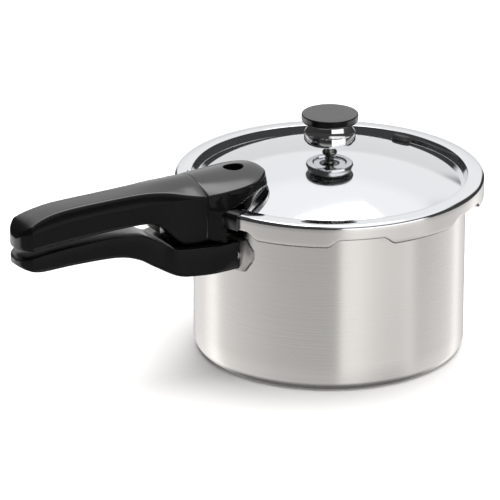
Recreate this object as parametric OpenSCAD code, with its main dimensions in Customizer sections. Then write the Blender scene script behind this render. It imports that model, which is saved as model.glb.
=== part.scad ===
// Stovetop pressure cooker with a twist-on cover and two long stacked handles.
// Origin: centre of the pot's underside. +Z is up and the handles point to -X.

/* [Pot] */
// Outside diameter of the pot wall
pot_d = 203; // [160:1:250]
// Height of the pot to the top of its rim
pot_h = 126.6; // [100:0.1:180]
// Thickness of the pot wall
pot_wall = 2.2; // [1.6:0.1:3]
// Thickness of the pot floor
pot_floor = 3; // [2:0.1:5]
// Outside radius of the corner between floor and wall
pot_corner = 7; // [5:0.5:14]

/* [Rim and lugs] */
// Lugs around the rim
lug_count = 7; // [5:1:9]
// Angle covered by one lug of the cover
cover_lug_angle = 25.7; // [20:0.1:26]
// Angle covered by one lug of the pot
pot_lug_angle = 24; // [18:0.1:25]
// Angle from the handle to the middle of the nearest lug
lug_offset = -8; // [-25:0.5:25]
// Thickness of the pot's rim and of its lugs
rim_t = 2.2; // [1.6:0.1:3]
// Width of the plain rim outside the pot wall
rim_w = 6; // [5:0.1:8]
// Height left between the pot's lugs and the hooks under them
lug_play = 0.4; // [0.3:0.1:1]

/* [Cover] */
// How far the cover's skirt stands outside the pot wall
skirt_reach = 13.5; // [12:0.1:18]
// Thickness of the cover
cover_t = 1.8; // [1.5:0.1:2.5]
// Gap between the pot's rim and the cover's panel edge
cover_gap = 0.6; // [0.4:0.1:1.5]
// Width of the flat ring around the cover, shoulder included
ring_w = 12.5; // [11:0.1:16]
// Height of the ring above the edge of the domed panel
ring_step = 6; // [5:0.1:9]
// Outside radius of the shoulder between ring and skirt
shoulder_r = 3.5; // [2.5:0.1:5]
// Height of the skirt from the ring's top to the lugs' lower edge
skirt_h = 17.5; // [16:0.1:24]
// Depth of the notches between the cover's lugs
notch_h = 5.8; // [4:0.1:7]
// How far a lug's hook turns inwards
hook_w = 4.7; // [3:0.1:5]
// Height of the dome over the edge of its panel
dome_rise = 21; // [12:0.5:30]
// How far the cover turns between closed and free
open_angle = 25.7; // [20:0.1:26]

/* [Sealing ring] */
// Radial clearance between the sealing ring and its channel
seal_play = 0.4; // [0.2:0.1:1]
// Gap between the sealing ring and the pot's rim
seal_gap = 0.1; // [0.1:0.1:0.5]

/* [Vent pipe and regulator] */
// Outside diameter of the vent pipe
pipe_d = 8; // [6:0.1:10]
// Bore of the vent pipe
pipe_bore = 2.6; // [2:0.1:4]
// Height of the vent pipe above the dome
pipe_h = 16; // [12:0.5:24]
// Height of the gap under the regulator
regulator_gap = 8.8; // [4:0.1:12]
// Diameter of the regulator's black cap
cap_d = 42.2; // [34:0.1:50]
// Height of the regulator's black cap
cap_h = 6.2; // [4:0.1:10]
// Diameter of the regulator's waist
waist_d = 33; // [26:0.5:38]
// Diameter of the regulator's lower edge
weight_d = 38.4; // [32:0.1:44]
// Height of the regulator's metal weight
weight_h = 15.5; // [12:0.1:24]

/* [Overpressure plug] */
// Diameter of the plug's button
plug_d = 14.3; // [10:0.1:18]
// Height of the plug's button above the cover
plug_h = 4.4; // [3:0.1:7]
// Distance from the centre to the plug
plug_place = 88; // [70:0.5:90]
// Angle from the handle round to the plug
plug_angle = 199; // [150:1:250]

/* [Cover lock] */
// Distance from the centre to the cover lock
lock_place = 84; // [72:0.5:86]
// Diameter of the lock's stem
lock_d = 6; // [5:0.1:8]
// Travel of the lock when the pot is under pressure
lock_travel = 3.5; // [2:0.1:4]
// Diameter of the lock's head
lock_head_d = 12; // [10:0.1:14]
// Diameter of the lock's foot
lock_foot_d = 13; // [11:0.1:15]
// Running clearance around the lock's stem
lock_play = 0.1; // [0.05:0.01:0.1]
// Depth of the locking bracket's shelf under the pot's rim
shelf_drop = 5.2; // [4:0.1:8]
// Thickness of the locking bracket
shelf_t = 1.5; // [1:0.1:2]

/* [Cover handle] */
// Height of the handle's top above the cover's ring
handle_top = 20; // [14:0.5:28]
// Half the width of the handle over the cover
nose_w = 27; // [22:0.5:32]
// Distance from the lock's hole to the tip of the nose
nose_len = 22.5; // [18:0.5:26]
// Diameter of the window over the lock
window_d = 15; // [12:0.5:18]
// Distance from the skirt to the seam across the handle
seam_reach = 6; // [4:0.5:10]
// Width of the seam between front and grip
seam_gap = 0.4; // [0.2:0.1:0.8]
// Angle that the saddle covers round the rim on each side
saddle_angle = 23; // [16:0.5:28]
// Thickness of the saddle outside the skirt
saddle_t = 4; // [3:0.1:6]

/* [Grips] */
// Distance from the skirt to the end of the handles
grip_reach = 152; // [120:1:190]
// Half the width of the grips
grip_w = 14.5; // [12:0.5:18]
// Height of the cover handle's grip
upper_grip_h = 24.5; // [18:0.5:30]
// Gap between the two grips
grip_gap = 5; // [3:0.5:8]
// Height of the pot handle's grip
lower_grip_h = 15.5; // [12:0.5:22]
// Gap between the handles' blocks, next to the pot
block_gap = 1.5; // [1:0.1:3]
// Depth of the cover handle's block below the ring's top
block_drop = 23.5; // [20:0.5:28]
// Height of the pot handle's block
block_h = 22; // [18:0.5:30]
// Half the width of the pot handle's block
block_w = 33; // [26:0.5:38]

/* [Metal brackets and fasteners] */
// Thickness of the brackets
bracket_t = 2.5; // [2:0.1:4]
// Angle that the pot's bracket covers on each side
bracket_angle = 24; // [18:0.5:28]
// Width of the tongues inside the handles
tongue_w = 18; // [14:0.5:22]
// Length of the tongues outside the brackets
tongue_len = 34; // [26:0.5:40]
// Clearance of the pockets around the tongues
pocket_play = 0.3; // [0.2:0.1:0.6]
// Shank diameter of the handle screws
screw_d = 5; // [4:0.1:6]
// Head diameter of the handle screws
screw_head_d = 9; // [7:0.1:11]
// Shank diameter of the rivets
rivet_d = 5; // [4:0.1:6]
// Head diameter of the rivets
rivet_head_d = 10; // [8:0.1:12]

/* [Rack] */
// Gap between the rack and the pot wall
rack_gap = 6; // [3:0.5:12]
// Height of the rack's feet
rack_h = 9; // [6:0.5:16]
// Thickness of the rack's plate
rack_t = 1.2; // [0.8:0.1:2]

/* [Hidden] */
$fn = 192;

eps = 0.01;
pot_r = pot_d / 2;
pot_in = pot_r - pot_wall;
cover_r = pot_r + skirt_reach;
skirt_in = cover_r - cover_t;

// Heights, from the pot's rim upwards
panel_z = pot_h + cover_gap + cover_t;
ring_z = panel_z + ring_step;
crown_z = panel_z + dome_rise;
skirt_z = ring_z - skirt_h;
notch_z = skirt_z + notch_h;
lip_z = skirt_z + cover_t + lug_play;

// Radii of the cover's ring, and the sphere of its dome
ring_in = cover_r - ring_w;
panel_r = ring_in - 2.5;
dome_r = (panel_r * panel_r + dome_rise * dome_rise) / (2 * dome_rise);
rim_r = pot_r + rim_w;
pot_lug_r = skirt_in - 1.2;

// Regulator and vent pipe
weight_z = crown_z + regulator_gap;
cap_z = weight_z + weight_h;
pipe_top = crown_z + pipe_h;
nut_w = pipe_d + 8;
pipe_low_z = crown_z - cover_t - 0.6;
pipe_seat_z = crown_z + 0.3;

// Cover lock: the shelf is under the pot's rim and the foot hangs below the shelf's lips
shelf_z = pot_h - shelf_drop;
shelf_lip = lock_travel;
foot_t = 1.5;
foot_top = shelf_z - shelf_t - shelf_lip - 0.5;
lock_seat_r = lock_head_d / 2 + 3;
lock_seat_z = dome_z(lock_place - lock_seat_r) + 0.2;
lock_under_z = dome_z(lock_place + lock_seat_r) - cover_t - 0.2;
lock_head_z = lock_seat_z + 1.2;
lock_head_h = 3;

// Handles, as distances from the pot's axis and as heights
seam_s = cover_r + seam_reach;
tip_s = cover_r + grip_reach;
nose_s = lock_place - nose_len;
top_z = ring_z + handle_top;
grip_z = top_z - upper_grip_h;
block_z = ring_z - block_drop;
lower_block_z = block_z - block_gap;
lower_grip_z = grip_z - grip_gap;
saddle_r = cover_r + saddle_t;
bracket_r = pot_r + bracket_t;
cover_bracket_r = cover_r + bracket_t;
lower_tongue_z = lower_block_z - block_h / 2;
upper_tongue_z = block_z + 10;
lower_screw_s = bracket_r + tongue_len - 12;
upper_screw_s = [cover_bracket_r + 9.5, cover_bracket_r + 11.5 + screw_head_d];

// Brackets, rivets and screws
bracket_h = 24;
plate_w = bracket_r * sin(bracket_angle);
plate_cut = 6;
plate_flat = 3;
rivet_angles = [-bracket_angle + 8, bracket_angle - 8];
rivet_head_t = 1.5;
small_rivet_d = 3.6;
small_rivet_head_d = 6.8;
small_rivet_head_t = 0.8;
cover_rivet_angles = [-6, 6];
cover_rivet_z = notch_z + 3;
cover_bracket_angle = 20;
flush = 0.1;
screw_head_h = 2.5;
screw_slot = 1.2;
screw_cover = 6;
washer_t = 1;

// Round of the upper handle's top, across the handle
crown_r = 42;

// Locking bracket inside the pot
shelf_h = 18;
shelf_in = lock_place - lock_foot_d / 2 - 3;
shelf_angle = 8;
shelf_rivet_z = shelf_z - 12;
shelf_rivet_angles = [-5, 5];

// Rack: rings of holes round the one in the middle
rack_r = pot_in - rack_gap;
rack_z = pot_floor + 0.3;
rack_hole_d = 9;
rack_rings = 3;
rack_feet = 3;
rack_foot_angle = 24;

// Necks that pass through the cover
gasket_neck_r = lock_d / 2 + 2;
gasket_lip = 1.5;
plug_neck_r = plug_d / 2 - 2.5;
plug_edge = 1.5;
nut_h = 5.5;

// Regulator
weight_bore_r = pipe_d / 2 + 2.5;
weight_skirt_h = 8;
needle_r = 3;
needle_tip = 2;
cap_edge = 1.8;
roof_t = 1.5;

function dome_z(r) = crown_z - dome_r + sqrt(dome_r * dome_r - r * r);
function dome_slope(r) = asin(r / dome_r);

// Points on one smooth curve through a few chosen ones
function blend(a, b, c, d, t) =
    0.5 * (2 * b + (c - a) * t + (2 * a - 5 * b + 4 * c - d) * t * t
    + (3 * b - a - 3 * c + d) * t * t * t);
function curve(p, n = 6) = [
    for (i = [0 : len(p) - 2]) for (k = [0 : n - 1])
        blend(p[max(i - 1, 0)], p[i], p[i + 1], p[min(i + 2, len(p) - 1)], k / n),
    p[len(p) - 1],
];
function back(p) = [for (i = [len(p) - 1 : -1 : 0]) p[i]];

// Angle, anticlockwise from +X, of the middle of lug number i
function lug_at(i) = 180 + lug_offset + i * 360 / lug_count;

// Part of a ring, from angle a - w/2 to a + w/2
module ring_part(r1, r2, z1, z2, a, w) {
    rotate([0, 0, a - w / 2]) rotate_extrude(angle = w)
        translate([r1, z1]) square([r2 - r1, z2 - z1]);
}

module rod(r, h, at = [0, 0, 0]) {
    translate(at) cylinder(r = r, h = h);
}

// Rod along -X, from distance s1 to s2, turned by angle a round the pot's axis
module radial_rod(r, s1, s2, z, a = 0) {
    rotate([0, 0, a]) translate([-s1, 0, z]) rotate([0, -90, 0]) cylinder(r = r, h = s2 - s1);
}

// Side outline of (distance, height) points, as wide as 2w
module side_solid(points, w) {
    translate([0, w, 0]) rotate([90, 0, 0]) linear_extrude(2 * w)
        polygon([for (p = points) [-p[0], p[1]]]);
}

// Plan outline of (distance, half width) points, mirrored about the middle
module plan_solid(points, z1, z2) {
    translate([0, 0, z1]) linear_extrude(z2 - z1)
        polygon(concat([for (p = points) [-p[0], p[1]]],
            [for (p = back(points)) if (p[1] > 0) [-p[0], -p[1]]]));
}

// Long round back along X that crowns the top of a handle
module crown(z, r, s1, s2) {
    translate([-s2, 0, z - r]) rotate([90, 0, 90]) linear_extrude(s2 - s1)
        polygon([for (a = [-90 : 6 : 270]) r * [cos(a), sin(a)]]);
}

// Box between distances s1 and s2, as wide as 2w
module handle_box(s1, s2, w, z1, z2) {
    translate([-s2, -w, z1]) cube([s2 - s1, 2 * w, z2 - z1]);
}

/* ---- pot ---- */

module pot_cup(r, corner, z) {
    translate([0, z]) square([r - corner, pot_h - z]);
    translate([0, z + corner]) square([r, pot_h - z - corner]);
    translate([r - corner, z + corner]) intersection() {
        circle(r = corner);
        translate([0, -corner]) square([corner, corner]);
    }
}

module pot_wall_holes() {
    for (a = rivet_angles) radial_rod(rivet_d / 2, pot_in - 3, pot_r + 3, lower_tongue_z, a);
    for (a = shelf_rivet_angles)
        radial_rod(small_rivet_d / 2, pot_in - 3, pot_r + 3, shelf_rivet_z, a);
}

module pot_body() {
    color("#c9c7c3") difference() {
        union() {
            rotate_extrude() {
                difference() {
                    pot_cup(pot_r, pot_corner, 0);
                    translate([0, eps]) pot_cup(pot_in, pot_corner - pot_wall, pot_floor);
                }
                translate([pot_in, pot_h - rim_t]) square([rim_r - pot_in, rim_t]);
            }
            for (i = [0 : lug_count - 1]) {
                ring_part(rim_r - 1, pot_lug_r, pot_h - rim_t, pot_h, lug_at(i), pot_lug_angle);
                ring_part(pot_lug_r - rim_t, pot_lug_r, lip_z, pot_h - rim_t + eps,
                    lug_at(i), pot_lug_angle);
            }
        }
        rod(pot_in, pot_h, [0, 0, pot_floor + pot_corner]);
        pot_wall_holes();
    }
}

/* ---- pot handle ---- */

module pot_handle_bracket() {
    z = lower_tongue_z;
    color("#b9b7b3") difference() {
        union() {
            intersection() {
                ring_part(pot_r, bracket_r, z - bracket_h / 2, z + bracket_h / 2, 180,
                    2 * bracket_angle);
                // The plate's ends are cut to a blunt point
                rotate([0, -90, 0]) linear_extrude(bracket_r + 1)
                    polygon([[z - bracket_h / 2, -plate_w + plate_cut], [z - plate_flat, -plate_w],
                        [z + plate_flat, -plate_w], [z + bracket_h / 2, -plate_w + plate_cut],
                        [z + bracket_h / 2, plate_w - plate_cut], [z + plate_flat, plate_w],
                        [z - plate_flat, plate_w], [z - bracket_h / 2, plate_w - plate_cut]]);
            }
            difference() {
                handle_box(pot_r, bracket_r + tongue_len, tongue_w / 2,
                    z - bracket_t, z + bracket_t);
                rod(pot_r, pot_h, [0, 0, 0]);
            }
        }
        for (a = rivet_angles) radial_rod(rivet_d / 2, pot_r - 1, bracket_r + 1, z, a);
        rod(screw_d / 2, 4 * bracket_t, [-lower_screw_s, 0, z - 2 * bracket_t]);
    }
}

// Rivet from radius in_r to out_r. An end without a head is flush.
module rivet(r, head_r, head_t, in_r, out_r, z, a, inner = true, outer = true) {
    radial_rod(r, in_r - (inner ? head_t / 2 : 0), out_r + (outer ? head_t / 2 : -flush), z, a);
    if (inner) intersection() {
        radial_rod(head_r, in_r - head_t, in_r + 2, z, a);
        rod(in_r, 4 * head_r, [0, 0, z - 2 * head_r]);
    }
    if (outer) difference() {
        radial_rod(head_r, out_r - 2, out_r + head_t, z, a);
        rod(out_r, 4 * head_r, [0, 0, z - 2 * head_r]);
    }
}

module pot_bracket_rivets() {
    color("#dcdad6") for (a = rivet_angles)
        rivet(rivet_d / 2, rivet_head_d / 2, rivet_head_t, pot_in, bracket_r, lower_tongue_z, a);
}

// Half widths of the pot handle, seen from above
lower_plan = curve([
    [pot_r - 8, block_w], [cover_r + 6, block_w], [cover_r + 18, block_w - 3],
    [cover_r + 32, block_w - 9], [cover_r + 46, grip_w + 3.5], [cover_r + 60, grip_w + 0.5],
    [cover_r + 80, grip_w - 0.5], [tip_s - 45, grip_w - 0.5], [tip_s - 20, grip_w],
    [tip_s - 9, grip_w - 2.5], [tip_s - 2.5, grip_w - 7.5], [tip_s, 0],
]);

// Side outline of the pot handle
lower_side = concat(
    [[pot_r - 8, lower_block_z]],
    curve([
        [cover_r + 26, lower_block_z], [cover_r + 36, lower_block_z + 3],
        [cover_r + 48, lower_grip_z - 5], [cover_r + 60, lower_grip_z - 1.5],
        [cover_r + 90, lower_grip_z], [tip_s - 25, lower_grip_z], [tip_s - 4, lower_grip_z - 2],
    ]),
    curve([
        [tip_s, lower_grip_z - 5], [tip_s - 8, lower_grip_z - 11],
        [tip_s - 22, lower_grip_z - lower_grip_h], [tip_s - 45, lower_grip_z - lower_grip_h],
        [cover_r + 85, lower_grip_z - lower_grip_h - 1], [cover_r + 64, lower_grip_z - 20],
        [cover_r + 48, lower_grip_z - 28], [cover_r + 34, lower_block_z - block_h + 2],
        [cover_r + 20, lower_block_z - block_h],
    ]),
    [[pot_r - 8, lower_block_z - block_h]]);

module pot_handle() {
    z = lower_tongue_z;
    color("#1b1b1c") difference() {
        intersection() {
            side_solid(lower_side, block_w + 1);
            plan_solid(lower_plan, 0, pot_h);
        }
        rod(bracket_r, pot_h, [0, 0, 0]);
        for (a = rivet_angles)
            radial_rod(rivet_head_d / 2 + 0.5, bracket_r - 2, bracket_r + 2, z, a);
        handle_box(bracket_r - 2, bracket_r + tongue_len + pocket_play,
            tongue_w / 2 + pocket_play, z - bracket_t - pocket_play, z + bracket_t + pocket_play);
        rod(screw_d / 2 + 0.2, block_h, [-lower_screw_s, 0, z - block_h]);
        rod(screw_head_d / 2 + 1, block_h, [-lower_screw_s, 0, z - block_h - screw_cover]);
    }
}

module pot_handle_washer() {
    z = lower_tongue_z - screw_cover;
    color("#8f8d89") difference() {
        rod(screw_head_d / 2 + 0.5, washer_t, [-lower_screw_s, 0, z - washer_t]);
        rod(screw_d / 2 + 0.1, 3 * washer_t, [-lower_screw_s, 0, z - 2 * washer_t]);
    }
}

// Screw with its head down, whose shank ends at height z2
module screw(s, z1, z2) {
    difference() {
        union() {
            rod(screw_d / 2, z2 - z1, [-s, 0, z1]);
            rod(screw_head_d / 2, screw_head_h, [-s, 0, z1 - screw_head_h]);
        }
        translate([-s - screw_head_d / 2, -screw_slot / 2, z1 - 2 * screw_head_h])
            cube([screw_head_d, screw_slot, screw_head_h + screw_slot]);
    }
}

module pot_handle_screw() {
    color("#a5a39f") screw(lower_screw_s, lower_tongue_z - screw_cover - washer_t,
        lower_tongue_z + bracket_t);
}

/* ---- locking bracket, inside the pot ---- */

module locking_bracket() {
    plate = pot_in - shelf_t;
    color("#d4d2ce") difference() {
        union() {
            ring_part(plate, pot_in, shelf_z - shelf_h, shelf_z, 180, 2 * shelf_angle);
            ring_part(shelf_in, plate + eps, shelf_z - shelf_t, shelf_z, 180, 2 * shelf_angle);
            // Lip along the side that the lock leaves by
            ring_part(shelf_in, plate + eps, shelf_z - shelf_t - shelf_lip, shelf_z - shelf_t + eps,
                180 + shelf_angle - 0.5, 1);
        }
        // Slot that the lock's stem travels along
        ring_part(lock_place - lock_d / 2 - 1, lock_place + lock_d / 2 + 1,
            shelf_z - 10, shelf_z + 1, 180 + open_angle / 2, open_angle);
        rod(lock_d / 2 + 1, 12, [-lock_place, 0, shelf_z - 10]);
        for (a = shelf_rivet_angles)
            radial_rod(small_rivet_d / 2, plate - 2, pot_in + 1, shelf_rivet_z, a);
    }
}

module locking_bracket_rivets() {
    color("#dcdad6") for (a = shelf_rivet_angles)
        rivet(small_rivet_d / 2, small_rivet_head_d / 2, small_rivet_head_t, pot_in - shelf_t, pot_r,
            shelf_rivet_z, a, outer = false);
}

/* ---- rack ---- */

module cooking_rack() {
    plate_z = rack_z + rack_h - rack_t;
    gap_angle = 360 / rack_feet;
    color("#cfcdc9") difference() {
        rotate_extrude() {
            translate([0, plate_z]) square([rack_r, rack_t]);
            translate([rack_r - rack_t, rack_z]) square([rack_t, rack_h]);
        }
        // The rim is cut back between its feet
        for (a = [gap_angle / 4 : gap_angle : 359])
            ring_part(rack_r - 3 * rack_t, rack_r + rack_t, rack_z - 1, rack_z + rack_h / 2,
                a, gap_angle - rack_foot_angle);
        rod(2 * rack_hole_d / 3, 3 * rack_t, [0, 0, plate_z - rack_t]);
        for (k = [1 : rack_rings], i = [0 : 6 * k - 1]) rotate([0, 0, i * 60 / k])
            rod(rack_hole_d / 2, 3 * rack_t,
                [k * rack_r / (rack_rings + 0.8), 0, plate_z - rack_t]);
    }
}

/* ---- cover ---- */

// Outside of the cover, filled down to height z: what stands on the cover is cut to it
module cover_outline(z, grow = 0) {
    intersection() {
        translate([0, crown_z - dome_r]) circle(r = dome_r + grow, $fn = 360);
        translate([0, z]) square([panel_r, crown_z + grow - z]);
    }
    polygon([[panel_r - eps, z], [panel_r - eps, panel_z + grow],
        [ring_in - grow, ring_z + grow], [cover_r - shoulder_r, ring_z + grow],
        [cover_r - shoulder_r, z]]);
    translate([cover_r - shoulder_r, ring_z - shoulder_r]) intersection() {
        circle(r = shoulder_r + grow);
        square(shoulder_r + grow);
    }
    translate([cover_r - shoulder_r - eps, z])
        square([shoulder_r + grow + eps, ring_z - shoulder_r - z]);
}

module cover_inside() {
    intersection() {
        translate([0, crown_z - dome_r]) circle(r = dome_r - cover_t, $fn = 360);
        translate([0, panel_z - cover_t]) square([panel_r - 2, crown_z]);
    }
    translate([0, skirt_z - 1]) square([panel_r + cover_t, panel_z - cover_t - skirt_z + 1]);
    polygon([[panel_r + cover_t - eps, skirt_z - 1], [panel_r + cover_t - eps, panel_z - cover_t],
        [ring_in + cover_t, ring_z - cover_t], [cover_r - shoulder_r, ring_z - cover_t],
        [cover_r - shoulder_r, skirt_z - 1]]);
    translate([cover_r - shoulder_r, ring_z - shoulder_r]) intersection() {
        circle(r = shoulder_r - cover_t);
        square(shoulder_r);
    }
    translate([cover_r - shoulder_r - eps, skirt_z - 1])
        square([shoulder_r - cover_t + eps, ring_z - shoulder_r - skirt_z + 1]);
}

module at_plug() {
    rotate([0, 0, 180 + plug_angle]) translate([0, 0, crown_z - dome_r])
        rotate([0, dome_slope(plug_place), 0]) translate([0, 0, dome_r]) children();
}

module cover_shell() {
    color("#dddddb") difference() {
        union() {
            rotate_extrude() {
                difference() {
                    cover_outline(skirt_z);
                    cover_inside();
                }
                translate([skirt_in - hook_w, skirt_z]) square([hook_w + eps, cover_t]);
            }
            // Flat seats for the vent pipe and for the lock
            rod(nut_w / 2 + 2, cover_t, [0, 0, pipe_low_z]);
            rod(pipe_d / 2 + 3, pipe_seat_z - pipe_low_z, [0, 0, pipe_low_z]);
            rod(lock_seat_r, lock_seat_z - lock_under_z, [-lock_place, 0, lock_under_z]);
        }
        for (i = [0 : lug_count - 1])
            ring_part(skirt_in - hook_w - 1, cover_r + 1, skirt_z - 1, notch_z,
                lug_at(i + 0.5), 360 / lug_count - cover_lug_angle);
        rod(pipe_d / 2, 20, [0, 0, crown_z - 10]);
        rod(gasket_neck_r, 20, [-lock_place, 0, lock_under_z - 5]);
        at_plug() rod(plug_neck_r, 4 * cover_t, [0, 0, -3 * cover_t]);
        for (a = cover_rivet_angles)
            radial_rod(small_rivet_d / 2, skirt_in - 2, cover_r + 2, cover_rivet_z, a);
    }
}

module sealing_ring() {
    z1 = pot_h + seal_gap;
    z2 = ring_z - cover_t;
    r1 = ring_in + cover_t + seal_play;
    r2 = skirt_in - seal_play;
    color("#2a2a2b") rotate_extrude() difference() {
        translate([r1, z1]) square([r2 - r1, z2 - z1]);
        // Rounded upper corner, and a groove in the outer face
        difference() {
            translate([r2 - 2, z2 - 2]) square([3, 3]);
            translate([r2 - 2, z2 - 2]) circle(r = 2);
        }
        translate([r2 + 0.4, (z1 + z2) / 2]) circle(r = 1.2);
    }
}

module vent_pipe() {
    end_z = pipe_low_z - 9;
    color("#c4c2be") difference() {
        union() {
            rod(pipe_d / 2, pipe_top - 3 - end_z, [0, 0, end_z]);
            translate([0, 0, pipe_top - 3]) cylinder(r1 = pipe_d / 2, r2 = pipe_bore, h = 3);
            rod(pipe_d / 2 + 2, 1.5, [0, 0, pipe_seat_z]);
        }
        rod(pipe_bore / 2, 60, [0, 0, end_z - 5]);
    }
}

module vent_pipe_washer() {
    color("#8f8d89") difference() {
        rod(nut_w / 2 + 1, washer_t, [0, 0, pipe_low_z - washer_t]);
        rod(pipe_d / 2, 3 * washer_t, [0, 0, pipe_low_z - 2 * washer_t]);
    }
}

module vent_pipe_nut() {
    color("#b9b7b3") difference() {
        translate([0, 0, pipe_low_z - washer_t - nut_h]) cylinder(d = nut_w, h = nut_h, $fn = 6);
        rod(pipe_d / 2, 2 * nut_h, [0, 0, pipe_low_z - 2 * nut_h]);
    }
}

module overpressure_plug() {
    color("#1d1d1e") at_plug() difference() {
        union() {
            rotate_extrude() difference() {
                translate([0, 0.25]) square([plug_d / 2, plug_h - 0.25]);
                difference() {
                    translate([plug_d / 2 - plug_edge, plug_h - plug_edge]) square(plug_edge + 1);
                    translate([plug_d / 2 - plug_edge, plug_h - plug_edge]) circle(r = plug_edge);
                }
            }
            rod(plug_neck_r - 0.05, cover_t + 3, [0, 0, -cover_t - 2]);
            rod(plug_neck_r + 1.6, 2, [0, 0, -cover_t - 2.4]);
        }
        rod(plug_neck_r - 2, 5, [0, 0, -cover_t - 3]);
    }
}

/* ---- cover handle ---- */

module cover_handle_bracket() {
    z = upper_tongue_z;
    color("#b9b7b3") difference() {
        union() {
            ring_part(cover_r, cover_bracket_r, z - bracket_t, ring_z - shoulder_r, 180,
                cover_bracket_angle);
            difference() {
                handle_box(cover_r - 2, cover_bracket_r + tongue_len, tongue_w / 2,
                    z - bracket_t, z + bracket_t);
                rod(cover_r, pot_h, [0, 0, 10]);
            }
        }
        for (a = cover_rivet_angles)
            radial_rod(small_rivet_d / 2, cover_r - 2, cover_bracket_r + 1, cover_rivet_z, a);
        for (s = upper_screw_s) rod(screw_d / 2, 4 * bracket_t, [-s, 0, z - 2 * bracket_t]);
    }
}

module cover_bracket_rivets() {
    color("#dcdad6") for (a = cover_rivet_angles)
        rivet(small_rivet_d / 2, small_rivet_head_d / 2, small_rivet_head_t, skirt_in,
            cover_bracket_r, cover_rivet_z, a, inner = false);
}

// What the handle pieces leave free for the metal bracket and its rivets
module bracket_room() {
    p = pocket_play;
    z = upper_tongue_z;
    ring_part(cover_r - 2, cover_bracket_r + p, z - bracket_t - p, ring_z - shoulder_r + p, 180,
        cover_bracket_angle + 1);
    handle_box(cover_r - 6, cover_bracket_r + tongue_len + p, tongue_w / 2 + p,
        z - bracket_t - p, z + bracket_t + p);
    for (a = cover_rivet_angles)
        radial_rod(4, cover_r, cover_bracket_r + 1.2, cover_rivet_z, a);
    for (s = upper_screw_s) {
        rod(screw_d / 2 + 0.2, 20, [-s, 0, z - 20]);
        rod(screw_head_d / 2 + 0.5, 20, [-s, 0, z - 20 - screw_cover]);
    }
}

// Room over the cover that every handle piece is cut to
module cover_room() {
    rotate_extrude() cover_outline(0, 0.1);
}

// Lower face of the handle's front, from the nose down to the rim
split = [
    [nose_s - 1, top_z - 8], [nose_s + 12, top_z - 9], [ring_in - 14, top_z - 15],
    [cover_r - 8, ring_z + 0.1],
];

// Half widths of the handle's front, seen from above
front_plan = curve([
    [nose_s, 0], [nose_s + 1.2, 8], [nose_s + 5, 16], [nose_s + 12, nose_w - 4.5],
    [nose_s + 24, nose_w - 1], [cover_r - 8, nose_w], [seam_s, nose_w - 1],
]);

module cover_handle_front() {
    color("#1b1b1c") difference() {
        intersection() {
            union() {
                plan_solid(front_plan, ring_z - 8, top_z + 1);
                plan_solid([[cover_r - 8, block_w + 1], [cover_r - 4, block_w + 1],
                    [seam_s, nose_w - 1]], block_z, ring_z + 2);
                plan_solid([[cover_r - 8, nose_w], [seam_s, nose_w - 1]], block_z, ring_z);
            }
            crown(top_z, crown_r, nose_s - 5, seam_s + 5);
            side_solid(concat(split, [[cover_r - 8, block_z], [seam_s - seam_gap, block_z],
                [seam_s - seam_gap, top_z + 1], [nose_s - 1, top_z + 1]]), block_w + 2);
        }
        rod(window_d / 2, 30, [-lock_place, 0, top_z - 25]);
        cover_room();
        bracket_room();
    }
}

// Half widths of the saddle under the front: it flares to the ends of its wings
base_plan = curve([
    [nose_s + 6, 0], [nose_s + 8, 10], [nose_s + 14, 18], [nose_s + 24, nose_w - 2],
    [ring_in - 12, nose_w + 2.5], [ring_in - 4, nose_w + 9],
    [cover_r * cos(saddle_angle), cover_r * sin(saddle_angle)],
]);

module cover_handle_base() {
    color("#202021") difference() {
        union() {
            intersection() {
                plan_solid(concat(base_plan, [[cover_r - 8, 0]]), panel_z, top_z);
                side_solid(concat([for (p = split) [p[0], p[1] - 0.2]],
                    [[cover_r - 8, panel_z], [nose_s, panel_z]]), 60);
            }
            // Wings round the rim
            difference() {
                ring_part(cover_r - 9, saddle_r, notch_z, ring_z + 2.5, 180, 2 * saddle_angle);
                handle_box(cover_r - 8.2, saddle_r + 20, block_w + 1.2, 0, top_z);
                handle_box(0, cover_r, nose_w + 0.2, 0, top_z);
            }
        }
        rod(window_d / 2, 30, [-lock_place, 0, top_z - 25]);
        rod(lock_seat_r + 0.5, lock_seat_z - panel_z + 0.5, [-lock_place, 0, panel_z]);
        cover_room();
        bracket_room();
    }
}

// Half widths of the grip, seen from above
upper_plan = curve([
    [seam_s, nose_w - 1], [cover_r + 13, nose_w - 2], [cover_r + 24, nose_w - 5],
    [cover_r + 38, grip_w + 3.5], [cover_r + 54, grip_w + 0.5], [cover_r + 76, grip_w - 0.5],
    [tip_s - 45, grip_w - 0.5], [tip_s - 22, grip_w + 0.5], [tip_s - 9, grip_w - 1.5],
    [tip_s - 2.5, grip_w - 7], [tip_s, 0],
]);

// Side outline of the grip
upper_side = concat(
    [[seam_s, top_z + 1]],
    curve([
        [tip_s - 62, top_z + 1], [tip_s - 50, top_z - 0.2], [tip_s - 30, top_z - 2],
        [tip_s - 14, top_z - 5.5], [tip_s - 4, top_z - 11], [tip_s, top_z - 18],
        [tip_s - 3, grip_z + 1.5], [tip_s - 8, grip_z],
    ]),
    curve([
        [tip_s - 30, grip_z], [cover_r + 80, grip_z], [cover_r + 58, grip_z - 0.5],
        [cover_r + 44, grip_z - 3.5], [cover_r + 33, grip_z - 10], [cover_r + 26, block_z + 3],
        [cover_r + 18, block_z],
    ]),
    [[seam_s, block_z]]);

module cover_handle_grip() {
    color("#1b1b1c") difference() {
        intersection() {
            side_solid(upper_side, nose_w + 1);
            plan_solid(upper_plan, block_z - 1, top_z + 1);
            crown(top_z, crown_r, seam_s - 1, tip_s + 1);
        }
        bracket_room();
    }
}

module cover_handle_screws() {
    color("#a5a39f") for (s = upper_screw_s)
        screw(s, upper_tongue_z - screw_cover, upper_tongue_z + bracket_t);
}

/* ---- cover lock ---- */

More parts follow.
